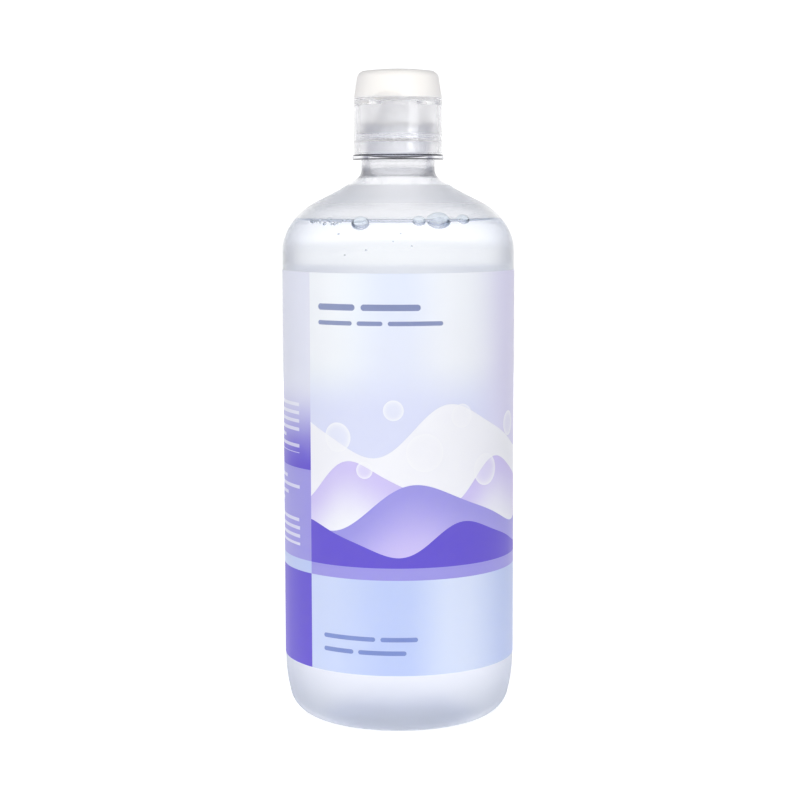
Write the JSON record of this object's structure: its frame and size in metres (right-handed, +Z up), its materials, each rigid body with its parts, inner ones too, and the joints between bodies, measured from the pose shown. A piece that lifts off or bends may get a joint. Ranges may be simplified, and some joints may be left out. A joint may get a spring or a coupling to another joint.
{
  "type": "contact lens solution bottle",
  "caption": "Clear squeeze bottle with a wrap label, filled with solution, and a snap-fit closure whose flip lid shuts a drip nozzle.",
  "frame": {"origin": "centre of the ring that the bottle stands on", "axes": "+Z up along the bottle's axis; the lid's thumb tab faces -Y and its living hinge is at +Y"},
  "size_m": [0.0682, 0.0682, 0.1904],
  "materials": {
    "clear_bottle": "clear polyester, glossy",
    "clear_solution": "clear watery liquid",
    "label_film": "printed film, satin",
    "nozzle_plastic": "natural soft polyethylene",
    "clear_closure": "clarified polypropylene, glossy",
    "frosted_lid": "translucent polypropylene, frosted"
  },
  "bodies": {
    "bottle_body": {"bottle": "clear_bottle", "solution": "clear_solution", "label": "label_film", "drip_nozzle": "nozzle_plastic", "closure_base": "clear_closure", "living_hinge": "frosted_lid"},
    "lid": {"flip_lid": "frosted_lid"}
  },
  "joints": [
    {"name": "lid_flip", "type": "hinge", "parent": "bottle_body", "child": "lid", "pos_m": [0, 0.01335, 0.18184], "axis": [-1, 0, 0], "range_deg": [0, 150], "deforming": ["living_hinge"]}
  ]
}
